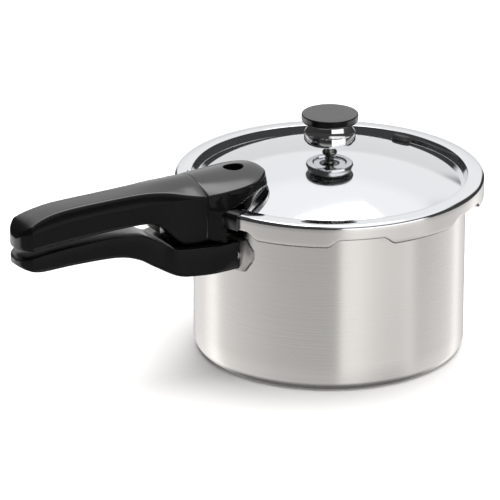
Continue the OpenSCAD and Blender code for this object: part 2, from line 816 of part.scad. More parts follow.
module cover_lock_gasket() {
    color("#303032") difference() {
        union() {
            rod(gasket_neck_r, lock_head_z - lock_under_z + gasket_lip,
                [-lock_place, 0, lock_under_z - gasket_lip]);
            rod(lock_head_d / 2 + 1, lock_head_z - lock_seat_z, [-lock_place, 0, lock_seat_z]);
            rod(gasket_neck_r + gasket_lip, gasket_lip, [-lock_place, 0, lock_under_z - gasket_lip]);
        }
        rod(lock_d / 2 + lock_play, 30, [-lock_place, 0, lock_under_z - 10]);
    }
}

module cover_lock_pin() {
    color("#d4d2ce") difference() {
        union() {
            rod(lock_d / 2, lock_head_z - foot_top + foot_t + 1,
                [-lock_place, 0, foot_top - foot_t]);
            rod(lock_head_d / 2, lock_head_h, [-lock_place, 0, lock_head_z + 0.1]);
        }
        rod(1.2, 2, [-lock_place, 0, lock_head_z + lock_head_h - 1]);
    }
}

module cover_lock_foot() {
    color("#b9b7b3") difference() {
        rod(lock_foot_d / 2, foot_t, [-lock_place, 0, foot_top - foot_t]);
        rod(lock_d / 2, 3 * foot_t, [-lock_place, 0, foot_top - 2 * foot_t]);
    }
}

/* ---- regulator ---- */

module regulator_weight() {
    neck_z = weight_z + weight_h;
    skirt_top = weight_z + weight_skirt_h;
    color("#c8c8c8") rotate_extrude() difference() {
        polygon([[0, weight_z], [weight_d / 2 - 1.5, weight_z], [weight_d / 2, weight_z + 2],
            [weight_d / 2 - 1, skirt_top], [waist_d / 2, skirt_top + 0.3],
            [waist_d / 2 - 0.5, neck_z], [0, neck_z]]);
        // Hollow underside, bore for the pipe, and the needle's socket
        translate([0, weight_z - 1]) square([weight_d / 2 - 4, 3]);
        translate([0, weight_z - 1]) square([weight_bore_r, pipe_h - regulator_gap + 3]);
        translate([0, weight_z]) square([needle_r, weight_h - roof_t]);
    }
}

module regulator_needle() {
    tip = pipe_top + 0.2;
    color("#d4d2ce") union() {
        rod(needle_r, cap_z - roof_t - tip - needle_tip, [0, 0, tip + needle_tip]);
        translate([0, 0, tip]) cylinder(r1 = needle_r / 2, r2 = needle_r, h = needle_tip);
    }
}

module regulator_clip() {
    z = weight_z + 3;
    color("#b9b7b3") ring_part(weight_bore_r - 1.5, weight_bore_r, z, z + 1.2, 0, 300);
}

module regulator_cap() {
    color("#161617") rotate_extrude() difference() {
        translate([0, cap_z]) square([cap_d / 2, cap_h]);
        difference() {
            translate([cap_d / 2 - cap_edge, cap_z + cap_h - cap_edge]) square(cap_edge + 1);
            translate([cap_d / 2 - cap_edge, cap_z + cap_h - cap_edge]) circle(r = cap_edge);
        }
    }
}

pot_body();
pot_handle_bracket();
pot_bracket_rivets();
pot_handle();
pot_handle_washer();
pot_handle_screw();
locking_bracket();
locking_bracket_rivets();
cooking_rack();
cover_shell();
sealing_ring();
vent_pipe();
vent_pipe_nut();
vent_pipe_washer();
overpressure_plug();
cover_handle_bracket();
cover_bracket_rivets();
cover_handle_base();
cover_handle_front();
cover_handle_grip();
cover_handle_screws();
cover_lock_gasket();
cover_lock_pin();
cover_lock_foot();
regulator_cap();
regulator_weight();
regulator_needle();
regulator_clip();
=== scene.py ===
import math

import bmesh
import bpy
from mathutils import Matrix, Vector


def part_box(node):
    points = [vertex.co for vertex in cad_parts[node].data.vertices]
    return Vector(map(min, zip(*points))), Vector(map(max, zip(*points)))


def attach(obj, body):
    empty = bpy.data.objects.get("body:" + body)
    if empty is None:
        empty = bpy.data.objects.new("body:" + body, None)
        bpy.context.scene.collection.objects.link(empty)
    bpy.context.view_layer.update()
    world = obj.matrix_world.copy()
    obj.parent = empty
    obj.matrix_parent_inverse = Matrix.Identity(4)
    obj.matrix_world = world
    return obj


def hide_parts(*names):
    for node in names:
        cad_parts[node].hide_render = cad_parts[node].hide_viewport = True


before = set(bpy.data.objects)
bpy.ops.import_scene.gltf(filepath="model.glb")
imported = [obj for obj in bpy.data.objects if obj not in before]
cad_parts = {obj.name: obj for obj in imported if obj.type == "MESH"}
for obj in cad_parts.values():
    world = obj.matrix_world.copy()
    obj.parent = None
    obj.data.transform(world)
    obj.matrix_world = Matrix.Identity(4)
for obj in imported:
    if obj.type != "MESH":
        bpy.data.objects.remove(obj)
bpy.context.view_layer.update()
print("frame loaded")

mm = 0.001
tiny = 1e-7


def top(node):
    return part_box(node)[1] / mm


def bottom(node):
    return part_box(node)[0] / mm


# shared sizes in millimetres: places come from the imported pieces, walls are named here
coverR = top("cover_shell").x
coverT = 1.8
skirtZ = bottom("cover_shell").z
ringZ = top("sealing_ring").z + coverT
rimZ = top("pot_body").z
potInR = -bottom("locking_bracket").x
potWall = 2.2
bracketT = 2.5
potR = potInR + potWall
bracketR = potR + bracketT
lockX = (bottom("cover_lock_pin").x + top("cover_lock_pin").x) / 2
lugCount = 7
lugStep = 2 * math.pi / lugCount
lugStart = math.radians(172)


def roundedOutline(corners, closed=False, steps=4):
    # corners are (across, up) or (across, up, radius); a radius turns the corner into an arc
    points = []
    count = len(corners)
    for i, corner in enumerate(corners):
        here = Vector(corner[:2])
        radius = corner[2] if len(corner) > 2 else 0
        atEnd = not closed and i in (0, count - 1)
        if radius <= 0 or atEnd:
            points.append(here)
            continue
        before = Vector(corners[i - 1][:2]) - here
        after = Vector(corners[(i + 1) % count][:2]) - here
        turn = before.angle(after)
        reach = min(radius / math.tan(turn / 2), 0.49 * before.length, 0.49 * after.length)
        radius = reach * math.tan(turn / 2)
        start, end = here + before.normalized() * reach, here + after.normalized() * reach
        middle = here + (before.normalized() + after.normalized()).normalized() * (
            radius / math.sin(turn / 2))
        a, b = start - middle, end - middle
        sweep = math.pi - turn
        for k in range(steps + 1):
            t = k / steps
            weightA = math.sin((1 - t) * sweep) / math.sin(sweep)
            weightB = math.sin(t * sweep) / math.sin(sweep)
            points.append(middle + a * weightA + b * weightB)
    return points


def smoothValue(table, x):
    # smooth curve through a few (x, value) pairs, level beyond the ends
    if x <= table[0][0]:
        return table[0][1]
    if x >= table[-1][0]:
        return table[-1][1]
    i = max(k for k in range(len(table) - 1) if table[k][0] <= x)
    (x0, y0), (x1, y1) = table[i], table[i + 1]
    before, after = table[max(i - 1, 0)], table[min(i + 2, len(table) - 1)]
    flat = (y1 - y0) / (x1 - x0)
    slope0 = (y1 - before[1]) / (x1 - before[0]) if i > 0 else flat
    slope1 = (after[1] - y0) / (after[0] - x0) if i + 2 < len(table) else flat
    t = (x - x0) / (x1 - x0)
    h = x1 - x0
    return ((2 * t**3 - 3 * t**2 + 1) * y0 + (t**3 - 2 * t**2 + t) * h * slope0
            + (-2 * t**3 + 3 * t**2) * y1 + (t**3 - t**2) * h * slope1)


def smoothStep(t):
    t = min(max(t, 0), 1)
    return t * t * (3 - 2 * t)


def chain(bm, points, closed=False):
    verts = [bm.verts.new(p) for p in points]
    pairs = list(zip(verts, verts[1:])) + ([(verts[-1], verts[0])] if closed else [])
    return verts, [bm.edges.new(pair) for pair in pairs]


def tidy(bm, sharp=32):
    bmesh.ops.remove_doubles(bm, verts=bm.verts, dist=2e-6)
    bmesh.ops.dissolve_degenerate(bm, edges=bm.edges, dist=1e-7)
    bmesh.ops.recalc_face_normals(bm, faces=bm.faces)
    markEdges(bm, sharp)


def markEdges(bm, sharp):
    for face in bm.faces:
        face.smooth = True
    for edge in bm.edges:
        flat = len(edge.link_faces) == 2 and edge.calc_face_angle(0) < math.radians(sharp)
        edge.smooth = flat


def lathe(outline, steps, closed=True, centre=(0, 0), angle=2 * math.pi, start=0):
    # outline is (radius, height) in millimetres
    bm = bmesh.new()
    points = [Vector((p[0] * mm, 0, p[1] * mm)) for p in outline]
    verts, edges = chain(bm, points, closed)
    bmesh.ops.rotate(bm, verts=verts, cent=(0, 0, 0), matrix=Matrix.Rotation(start, 3, "Z"))
    whole = abs(angle - 2 * math.pi) < tiny
    if not whole and closed:
        bm.faces.new(verts)
    source = verts + edges + list(bm.faces)
    bmesh.ops.spin(bm, geom=source, cent=(0, 0, 0), axis=(0, 0, 1), angle=angle, steps=steps,
                   use_merge=whole)
    if not whole and closed:
        bmesh.ops.recalc_face_normals(bm, faces=bm.faces)
    bmesh.ops.translate(bm, verts=bm.verts, vec=(centre[0] * mm, centre[1] * mm, 0))
    return bm


def sweepOn(bm, verts, edges, places, closed=False):
    # carries a chain of vertices on to its next places, with faces between
    grown = bmesh.ops.extrude_edge_only(bm, edges=edges)["geom"]
    fresh = {g for g in grown if isinstance(g, bmesh.types.BMVert)}
    verts = [next(e.other_vert(v) for e in v.link_edges if e.other_vert(v) in fresh)
             for v in verts]
    for v, place in zip(verts, places):
        v.co = place
    following = verts[1:] + (verts[:1] if closed else [])
    return verts, [bm.edges.get(pair) for pair in zip(verts, following)]


def loft(sections):
    # sections are half rings from the underside's middle to the top's middle, then mirrored
    bm = bmesh.new()
    verts, edges = chain(bm, sections[0])
    for section in sections[1:]:
        verts, edges = sweepOn(bm, verts, edges, section)
    bmesh.ops.mirror(bm, geom=bm.verts[:] + bm.edges[:] + bm.faces[:], axis="Y",
                     matrix=Matrix.Identity(4), merge_dist=1e-6)
    bmesh.ops.remove_doubles(bm, verts=bm.verts, dist=1e-6)
    bmesh.ops.holes_fill(bm, edges=[e for e in bm.edges if e.is_boundary], sides=0)
    return bm


def asObject(name, bm):
    mesh = bpy.data.meshes.new(name)
    bm.to_mesh(mesh)
    bm.free()
    piece = bpy.data.objects.new(name, mesh)
    bpy.context.scene.collection.objects.link(piece)
    return piece


def carve(piece, *cutters, operation="DIFFERENCE"):
    for bm in cutters:
        bmesh.ops.recalc_face_normals(bm, faces=bm.faces)
        cutter = asObject("cutter", bm)
        cut = piece.modifiers.new("carve", "BOOLEAN")
        cut.object = cutter
        cut.operation = operation
        cut.solver = "EXACT"
        applyModifiers(piece)
        bpy.data.objects.remove(cutter)
    return piece


def applyModifiers(piece):
    bpy.context.view_layer.update()
    shaped = piece.evaluated_get(bpy.context.evaluated_depsgraph_get())
    mesh = bpy.data.meshes.new_from_object(shaped)
    piece.modifiers.clear()
    old = piece.data
    piece.data = mesh
    bpy.data.meshes.remove(old)


def rod(radius, low, high, centre=(0, 0), steps=64):
    return lathe([(0, low), (radius, low), (radius, high), (0, high)], steps, False, centre)


def slab(x1, x2, halfWidth, low, high):
    bm = bmesh.new()
    bmesh.ops.create_cube(bm, size=1)
    bmesh.ops.scale(bm, verts=bm.verts, vec=((x2 - x1) * mm, 2 * halfWidth * mm, (high - low) * mm))
    bmesh.ops.translate(bm, verts=bm.verts,
                        vec=((x1 + x2) / 2 * mm, 0, (low + high) / 2 * mm))
    return bm


def finishPiece(piece, material, slotName, body, *nodes, sharp=32, bevel=0):
    bm = bmesh.new()
    bm.from_mesh(piece.data)
    bmesh.ops.remove_doubles(bm, verts=bm.verts, dist=2e-6)
    if bevel:
        edges = [e for e in bm.edges if len(e.link_faces) == 2
                 and e.calc_face_angle(0) > math.radians(sharp)]
        bmesh.ops.bevel(bm, geom=edges, offset=bevel * mm, offset_type="OFFSET", segments=2,
                        profile=0.5, affect="EDGES", material=-1, clamp_overlap=True,
                        loop_slide=True)
    bmesh.ops.recalc_face_normals(bm, faces=bm.faces)
    markEdges(bm, sharp)
    bm.to_mesh(piece.data)
    bm.free()
    piece.data.materials.clear()
    piece.data.materials.append(material)
    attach(piece, body)
    if nodes:
        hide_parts(*nodes)
    return piece


def newMaterial(name, color, metallic, roughness):
    made = bpy.data.materials.new(name)
    made.use_nodes = True
    shader = made.node_tree.nodes["Principled BSDF"]
    shader.inputs["Base Color"].default_value = (*color, 1)
    shader.inputs["Metallic"].default_value = metallic
    shader.inputs["Roughness"].default_value = roughness
    return made, made.node_tree, shader


def addNode(tree, kind, settings=(), **inputs):
    node = tree.nodes.new("ShaderNode" + kind)
    for key, value in dict(settings).items():
        setattr(node, key, value)
    for key, value in inputs.items():
        socket = node.inputs[int(key[1:])] if key[1:].isdigit() else node.inputs[key]
        if isinstance(value, bpy.types.NodeSocket):
            tree.links.new(value, socket)
        else:
            socket.default_value = value
    return node


def maths(tree, operation, *values):
    inputs = {f"i{k}": v for k, v in enumerate(values)}
    return addNode(tree, "Math", {"operation": operation}, **inputs).outputs[0]


def ramp(tree, fac, stops):
    node = addNode(tree, "ValToRGB", Fac=fac)
    elements = node.color_ramp.elements
    while len(elements) > 1:
        elements.remove(elements[-1])
    for k, (at, level) in enumerate(stops):
        spot = elements[0] if k == 0 else elements.new(at)
        spot.position = at
        spot.color = (level, level, level, 1)
    return node.outputs[0]


def objectPlace(tree):
    return addNode(tree, "TexCoord").outputs["Object"]


def turnedPlace(tree, across, around, centre=(0, 0, 0)):
    # place on a turned piece: distance and height run fast, the angle runs slowly
    place = addNode(tree, "VectorMath", {"operation": "SUBTRACT"}, i0=objectPlace(tree), i1=centre)
    parts = addNode(tree, "SeparateXYZ", Vector=place.outputs[0])
    x, y, z = parts.outputs[0], parts.outputs[1], parts.outputs[2]
    r = maths(tree, "SQRT", maths(tree, "ADD", maths(tree, "MULTIPLY", x, x),
                                  maths(tree, "MULTIPLY", y, y)))
    spread = maths(tree, "MULTIPLY", maths(tree, "ADD", x, maths(tree, "MULTIPLY", y, 0.7)), around)
    return addNode(tree, "CombineXYZ", X=maths(tree, "MULTIPLY", r, across),
                   Y=spread, Z=maths(tree, "MULTIPLY", z, across)).outputs[0]


def noise(tree, place, scale, detail=3, roughness=0.5):
    return addNode(tree, "TexNoise", {"noise_dimensions": "3D"}, Vector=place, Scale=scale,
                   Detail=detail, Roughness=roughness).outputs["Fac"]


def ranged(tree, value, low, high):
    # nearly all of a noise lies between 0.3 and 0.7
    node = addNode(tree, "MapRange", {}, Value=value)
    for key, number in (("From Min", 0.3), ("From Max", 0.7), ("To Min", low), ("To Max", high)):
        node.inputs[key].default_value = number
    return node.outputs[0]


def smoothRise(tree, value, low, high):
    node = addNode(tree, "MapRange", {"interpolation_type": "SMOOTHSTEP"}, Value=value)
    node.inputs["From Min"].default_value = low
    node.inputs["From Max"].default_value = high
    return node.outputs[0]


def bumped(tree, shader, height, strength, distance):
    bump = addNode(tree, "Bump", {}, Height=height, Strength=strength, Distance=distance)
    tree.links.new(bump.outputs[0], shader.inputs["Normal"])


def tinted(tree, shader, fac, dark, light):
    mix = addNode(tree, "Mix", {"data_type": "RGBA"})
    tree.links.new(fac, mix.inputs[0])
    mix.inputs[6].default_value = (*dark, 1)
    mix.inputs[7].default_value = (*light, 1)
    tree.links.new(mix.outputs[2], shader.inputs["Base Color"])


def brushDirection(tree, shader):
    # highlights spread across the turned lines, which run round the upright axis
    place = addNode(tree, "SeparateXYZ", Vector=objectPlace(tree))
    around = addNode(tree, "CombineXYZ", X=maths(tree, "MULTIPLY", place.outputs[1], -1),
                     Y=place.outputs[0], Z=0.0)
    normal = addNode(tree, "NewGeometry").outputs["Normal"]
    across = addNode(tree, "VectorMath", {"operation": "CROSS_PRODUCT"},
                     i0=normal, i1=around.outputs[0])
    tree.links.new(across.outputs[0], shader.inputs["Tangent"])


satin = {
    "color": (0.80, 0.775, 0.745), "roughness": 0.26, "anisotropy": 0.82,
    "lines": 3400, "lineDepth": 0.004,
    "dark": (0.785, 0.758, 0.727), "light": (0.81, 0.786, 0.756),
}


def satinAluminium():
    made, tree, shader = newMaterial("satinAluminium", satin["color"], 1, satin["roughness"])
    shader.inputs["Anisotropic"].default_value = satin["anisotropy"]
    brushDirection(tree, shader)
    lines = noise(tree, turnedPlace(tree, satin["lines"], 14), 1, 2, 0.6)
    clouds = noise(tree, objectPlace(tree), 9, 4, 0.55)
    mixed = maths(tree, "ADD", maths(tree, "MULTIPLY", lines, 0.6),
                  maths(tree, "MULTIPLY", clouds, 0.4))
    tree.links.new(ranged(tree, mixed, satin["roughness"] - 0.02, satin["roughness"] + 0.03),
                   shader.inputs["Roughness"])
    tinted(tree, shader, ranged(tree, clouds, 0, 1), satin["dark"], satin["light"])
    bumped(tree, shader, lines, 0.02, satin["lineDepth"] * mm)
    return made


polish = {
    "color": (0.845, 0.858, 0.88), "top": 0.05, "skirt": 0.24, "lines": 1500,
    # the skirt is satin below these depths under the ring, and outside this radius
    "satinFrom": 1.6, "satinFull": 3.6, "satinOutside": 110,
}


def polishedCover():
    made, tree, shader = newMaterial("polishedAluminium", polish["color"], 1, polish["top"])
    shader.inputs["Anisotropic"].default_value = 0.6
    brushDirection(tree, shader)
    place = addNode(tree, "SeparateXYZ", Vector=objectPlace(tree))
    across = maths(tree, "ADD", maths(tree, "MULTIPLY", place.outputs[0], place.outputs[0]),
                   maths(tree, "MULTIPLY", place.outputs[1], place.outputs[1]))
    below = smoothRise(tree, place.outputs[2], (ringZ - polish["satinFrom"]) * mm,
                       (ringZ - polish["satinFull"]) * mm)
    outside = maths(tree, "GREATER_THAN", across, (polish["satinOutside"] * mm)**2)
    skirt = maths(tree, "MULTIPLY", below, outside)
    clouds = noise(tree, objectPlace(tree), 14, 4, 0.6)
    lines = noise(tree, turnedPlace(tree, polish["lines"], 12), 1, 2, 0.6)
    worn = ranged(tree, clouds, 0.0, 0.03)
    satinShare = maths(tree, "MULTIPLY", skirt, polish["skirt"] - polish["top"])
    lineShare = maths(tree, "MULTIPLY", maths(tree, "MULTIPLY", lines, skirt), 0.06)
    rough = maths(tree, "ADD", maths(tree, "ADD", satinShare, lineShare),
                  maths(tree, "ADD", worn, polish["top"]))
    tree.links.new(rough, shader.inputs["Roughness"])
    tinted(tree, shader, skirt, polish["color"], (0.79, 0.765, 0.735))
    bumped(tree, shader, lines, 0.05, 0.01 * mm)
    return made


def plainMetal(name, color, roughness, turned=False):
    made, tree, shader = newMaterial(name, color, 1, roughness)
    grain = 700
    place = turnedPlace(tree, grain, 20) if turned else objectPlace(tree)
    fine = noise(tree, place, 1 if turned else grain, 4, 0.6)
    clouds = noise(tree, objectPlace(tree), 60, 3, 0.5)
    tree.links.new(ranged(tree, clouds, roughness - 0.05, roughness + 0.08),
                   shader.inputs["Roughness"])
    tinted(tree, shader, ranged(tree, fine, 0, 1), [c * 0.9 for c in color], color)
    bumped(tree, shader, fine, 0.25, 0.02 * mm)
    return made


def brightChrome():
    made, tree, shader = newMaterial("brightChrome", (0.86, 0.86, 0.87), 1, 0.04)
    lines = noise(tree, turnedPlace(tree, 1800, 10), 1, 2, 0.6)
    clouds = noise(tree, objectPlace(tree), 80, 3, 0.5)
    tree.links.new(ranged(tree, clouds, 0.03, 0.07), shader.inputs["Roughness"])
    bumped(tree, shader, lines, 0.04, 0.008 * mm)
    return made


phenolic = {"color": (0.006, 0.006, 0.0063), "roughness": 0.17, "grain": 1400,
            # painted sheen: reflection strength set by the viewing angle, weak square on, full in
            # between and near zero edge on, which paints dark outline lines
            "paintedSheen": [(0, 0.1), (0.225, 0.11), (0.3, 0.9), (0.5, 1), (0.76, 1), (0.88, 0.15),
                      (1, 0.05)]}


def blackPhenolic(name="blackPhenolic", roughness=phenolic["roughness"]):
    made, tree, shader = newMaterial(name, phenolic["color"], 0, roughness)
    facing = addNode(tree, "LayerWeight", {}, Blend=0.5).outputs["Facing"]
    # painted sheen and painted dark outlines: the reflection strength follows the viewing angle
    tree.links.new(ramp(tree, facing, phenolic["paintedSheen"]), shader.inputs["Specular IOR Level"])
    grain = noise(tree, objectPlace(tree), phenolic["grain"], 3, 0.6)
    smudges = noise(tree, objectPlace(tree), 26, 4, 0.55)
    tree.links.new(ranged(tree, smudges, roughness - 0.03, roughness + 0.05),
                   shader.inputs["Roughness"])
    tinted(tree, shader, ranged(tree, grain, 0, 1), (0.003, 0.003, 0.0031), (0.006, 0.0058, 0.006))
    flow = noise(tree, objectPlace(tree), 55, 2, 0.5)
    height = maths(tree, "ADD", maths(tree, "MULTIPLY", grain, 0.12), flow)
    bumped(tree, shader, height, 0.08, 0.08 * mm)
    return made


def blackRubber():
    made, tree, shader = newMaterial("blackRubber", (0.02, 0.02, 0.021), 0, 0.55)
    grain = noise(tree, objectPlace(tree), 1100, 4, 0.65)
    bloom = noise(tree, objectPlace(tree), 45, 3, 0.5)
    tree.links.new(ranged(tree, bloom, 0.48, 0.66), shader.inputs["Roughness"])
    tinted(tree, shader, ranged(tree, bloom, 0, 1), (0.016, 0.016, 0.017), (0.034, 0.034, 0.035))
    bumped(tree, shader, grain, 0.3, 0.04 * mm)
    return made


satinMetal = satinAluminium()
coverMetal = polishedCover()
rackMetal = plainMetal("rackAluminium", (0.76, 0.76, 0.75), 0.38)
bracketMetal = plainMetal("bracketMetal", (0.56, 0.545, 0.52), 0.36)
platedSteel = plainMetal("platedSteel", (0.62, 0.60, 0.57), 0.3)
stainless = plainMetal("stainlessSteel", (0.45, 0.44, 0.42), 0.2, turned=True)
chrome = brightChrome()
phenolicBlack = blackPhenolic()
capBlack = blackPhenolic("regulatorBlack", 0.2)
rubber = blackRubber()
print("materials made")


cover = {
    "pipeHole": 4, "panelR": 100, "stepIn": 102.5, "step": 6, "shoulder": 3.5,
    "hook": 4.7, "curl": 2.2, "notch": 5.8, "notchHalf": 12.86, "ramp": 5.0,
    "domeRise": 21, "steps": 504,
}


def nearestAngle(angle, start, step):
    turn = (angle - start) % step
    return math.degrees(min(turn, step - turn))


def domeRadius():
    rise, panel = cover["domeRise"], cover["panelR"]
    return (panel**2 + rise**2) / (2 * rise)


def domeHeight(r, drop=0):
    # height of the domed panel, and of its underside when drop is the wall
    radius = domeRadius()
    crown = ringZ - cover["step"] + cover["domeRise"]
    return crown - radius + math.sqrt((radius - drop)**2 - r**2)


def coverOutline(drop, grow=0):
    # one side of the cover, from the pipe's hole to the skirt's lower edge
    panelZ = ringZ - cover["step"]
    panel, step = cover["panelR"] + drop, cover["stepIn"] + drop
    outer = coverR - drop + grow
    arcs = [(cover["pipeHole"] + (panel - 1.5 - cover["pipeHole"]) * k / 24) for k in range(25)]
    corners = [(r, domeHeight(r, drop) + grow) for r in arcs]
    corners += [(panel, panelZ - drop + grow, 0.2), (step - grow, ringZ - drop + grow, 0.8)]
    corners += [(step + 4, ringZ - drop + grow),
                (outer, ringZ - drop + grow, cover["shoulder"] - drop)]
    return corners + [(outer, ringZ - 6), (outer, ringZ - 9)]


def makeCover():
    outer = roundedOutline(coverOutline(0) + [
        (coverR, skirtZ + 4), (coverR, skirtZ, cover["curl"]),
        (coverR - coverT - cover["hook"], skirtZ)], steps=6)
    inner = roundedOutline(coverOutline(coverT) + [
        (coverR - coverT, skirtZ + 4), (coverR - coverT, skirtZ + coverT, 0.6),
        (coverR - coverT - cover["hook"], skirtZ + coverT)], steps=5)
    bm = lathe(outer + inner[::-1], cover["steps"])
    hookIn = coverR - coverT
    for v in bm.verts:
        x, y, z = v.co / mm
        r = math.hypot(x, y)
        if z > ringZ - 5 or r < coverR - coverT - cover["hook"] - 1:
            continue
        away = nearestAngle(math.atan2(y, x), lugStart + lugStep / 2, lugStep)
        share = smoothStep((cover["notchHalf"] - away) / cover["ramp"])
        fade = smoothStep((cover["notchHalf"] + 0.8 - away) / 2.2)
        weight = min(max((ringZ - 5 - z) / (ringZ - 5 - skirtZ), 0), 1)
        z += cover["notch"] * share * weight
        if r < hookIn:
            r += (hookIn + 0.15 * (r - hookIn + cover["hook"]) / cover["hook"] - 0.15 - r) * fade
        scale = r / math.hypot(x, y)
        v.co = Vector((x * scale, y * scale, z)) * mm
    tidy(bm, 38)
    piece = asObject("coverShellPolished", bm)
    lockAt = (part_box("cover_lock_pin")[0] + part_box("cover_lock_pin")[1]) / 2 / mm
    neck = (top("cover_lock_gasket").x - bottom("cover_lock_gasket").x) / 2 - 2
    carve(piece, rod(neck - 0.4, 120, 150, (lockAt.x, 0)))
    return finishPiece(piece, coverMetal, "polished_aluminium", "cover", "cover_shell", sharp=38)


makeCover()
print("cover made")


pot = {
    "corner": 7, "floor": 3, "rim": 2.2, "plainRim": 6, "lip": 2.2, "lipZ": 119.7,
    "lugR": 112, "lugHalf": 12, "ramp": 1.0, "steps": 504,
}


def makePot():
    rimUnder = rimZ - pot["rim"]
    outline = roundedOutline([
        (0, 0), (40, 0), (80, 0), (potR, 0, pot["corner"]), (potR, 20), (potR, 60), (potR, 100),
        (potR, rimUnder - 3), (potR, rimUnder, 0.8),
        (pot["lugR"] - pot["lip"], rimUnder, 0.5), (pot["lugR"] - pot["lip"], pot["lipZ"], 0.4),
        (pot["lugR"], pot["lipZ"], 0.6), (pot["lugR"], rimZ, 1.0),
        (potInR, rimZ, 0.5), (potInR, 100), (potInR, 60), (potInR, 20),
        (potInR, pot["floor"], pot["corner"] - potWall), (80, pot["floor"]), (40, pot["floor"]),
        (0, pot["floor"])], steps=5)
    bm = lathe(outline, pot["steps"], closed=False)
    wide = pot["lugR"] - potR
    for v in bm.verts:
        x, y, z = v.co / mm
        r = math.hypot(x, y)
        if r < potR + 0.01 or z < pot["lipZ"] - 1:
            continue
        away = nearestAngle(math.atan2(y, x), lugStart, lugStep)
        plain = 1 - smoothStep((pot["lugHalf"] + pot["ramp"] / 2 - away) / pot["ramp"])
        newR = r + ((r - potR) * pot["plainRim"] / wide + potR - r) * plain
        if z < rimUnder:
            z += (rimUnder - 0.06 * (rimUnder - z) / (rimUnder - pot["lipZ"]) - z) * plain
        v.co = Vector((x * newR / r, y * newR / r, z)) * mm
    tidy(bm)
    return finishPiece(asObject("potBodySatin", bm), satinMetal, "satin_aluminium", "pot",
                       "pot_body")


makePot()
print("pot made")


# distances along a handle are measured from the pot's axis, towards -X

seamS = -top("cover_handle_grip").x
tipS = -bottom("cover_handle_grip").x
noseS = -top("cover_handle_front").x
handleTop = top("cover_handle_grip").z
upperBlockZ = bottom("cover_handle_grip").z
lowerBlockZ = top("pot_handle").z


def stations(first, last, spacing, tail=0, softStart=False):
    # places along a handle, closer together at a rounded end and at a softened start
    body = last - tail
    count = max(int((body - first) / spacing), 2)
    places = [first + (body - first) * k / count for k in range(count + 1)]
    if softStart:
        places[1:1] = [first + 0.08, first + 0.25]
    if tail:
        places[-1:] = [body - 0.5, body, body + 0.35]
        places += [body + tail * math.sin(math.pi / 2 * k / 16) for k in range(2, 17)]
    return places


def endWidth(s, halfWidth, end):
    # the sides run straight to a corner, then an arc closes the handle's end in plan
    if s <= tipS - end["tail"]:
        return halfWidth
    radius = (halfWidth**2 + end["tail"]**2) / (2 * end["tail"])
    across = s - tipS + radius
    return max(min(math.sqrt(max(radius**2 - across**2, 0)), halfWidth), 0.4)


def softened(s, first, amount=0.25):
    t = min(max((s - first) / amount, 0), 1)
    return amount * (1 - math.sqrt(max(1 - (1 - t)**2, 0)))


def placed(s, outline):
    return [Vector((-s * mm, p[0] * mm, p[1] * mm)) for p in outline]


def crownedHalf(halfWidth, low, crownZ, rise, shoulder, foot, flare=0, splitZ=None):
    # half a handle's section: flat sides, a gently crowned top whose shoulder rounds over
    # into a crisp crease, and rounded lower corners
    drop, reach = shoulder
    reach = min(reach, halfWidth * 0.8)
    inner = halfWidth - reach
    crown = [(inner * k / 8, crownZ - rise * (inner * k / 8 / halfWidth)**1.7) for k in range(9)]
    edgeZ = crown[-1][1]
    slope = 1.7 * rise / halfWidth * (inner / halfWidth)**0.7
    crown += [(inner + reach * t, edgeZ - slope * reach * t - drop * t**2.2)
              for t in (0.15, 0.3, 0.45, 0.6, 0.75, 0.88)]
    sideTop = edgeZ - slope * reach - drop
    wide = halfWidth + flare
    split = splitZ if splitZ is not None else low + (sideTop - low) * 0.3
    splitWide = wide if splitZ is not None else wide - flare * 0.3
    corners = [(0, low), (wide * 0.5, low), (wide, low, foot), (splitWide, split, 1.5),
               (halfWidth + (splitWide - halfWidth) * 0.35, split + (sideTop - split) * 0.6),
               (halfWidth, sideTop - 0.9), (halfWidth, sideTop, 0.35)]
    return roundedOutline(corners + crown[::-1], steps=3)


grip = {
    "halfWidth": [(121, 26), (127, 25.4), (137, 22.8), (150, 18.8), (165, 15.6), (185, 14.4),
                  (215, 14.3), (240, 14.7), (259, 15.2)],
    "crown": [(121, handleTop), (140, handleTop), (165, handleTop - 0.9), (185, handleTop - 1.1),
              (222, handleTop - 1.2), (236, handleTop - 2), (248, handleTop - 4.2),
              (258, handleTop - 7.8), (264, handleTop - 12.2), (267, handleTop - 17.5)],
    "rise": [(121, 9), (135, 7.4), (150, 4.2), (165, 1.8), (185, 0.9), (240, 0.8), (267, 0.3)],
    "drop": [(121, 0.5), (135, 1.6), (150, 5), (165, 7.2), (185, 7.8), (240, 7.4), (256, 5.4),
             (267, 1)],
    "reach": [(121, 1.5), (135, 3), (150, 4.6), (165, 5.4), (240, 5.6), (267, 2)],
    "low": [(121, 111.5), (138, 111.5), (142, 113.6), (148, 119.8), (154, 126), (160, 129.2),
            (172, 130.4), (215, 129.9), (245, 129), (259, 128.4), (264, 128.6), (267, 129.2)],
    "tail": 8,
}


def gripSection(s):
    inset = softened(s, seamS)
    halfWidth = endWidth(s, smoothValue(grip["halfWidth"], s), grip) - inset
    crownZ = smoothValue(grip["crown"], s) - inset
    low = smoothValue(grip["low"], s) + inset
    drop = min(smoothValue(grip["drop"], s), (crownZ - low) * 0.35)
    shoulder = drop, smoothValue(grip["reach"], s)
    return placed(s, crownedHalf(halfWidth, low, crownZ, smoothValue(grip["rise"], s),
                                 shoulder, 2.2))


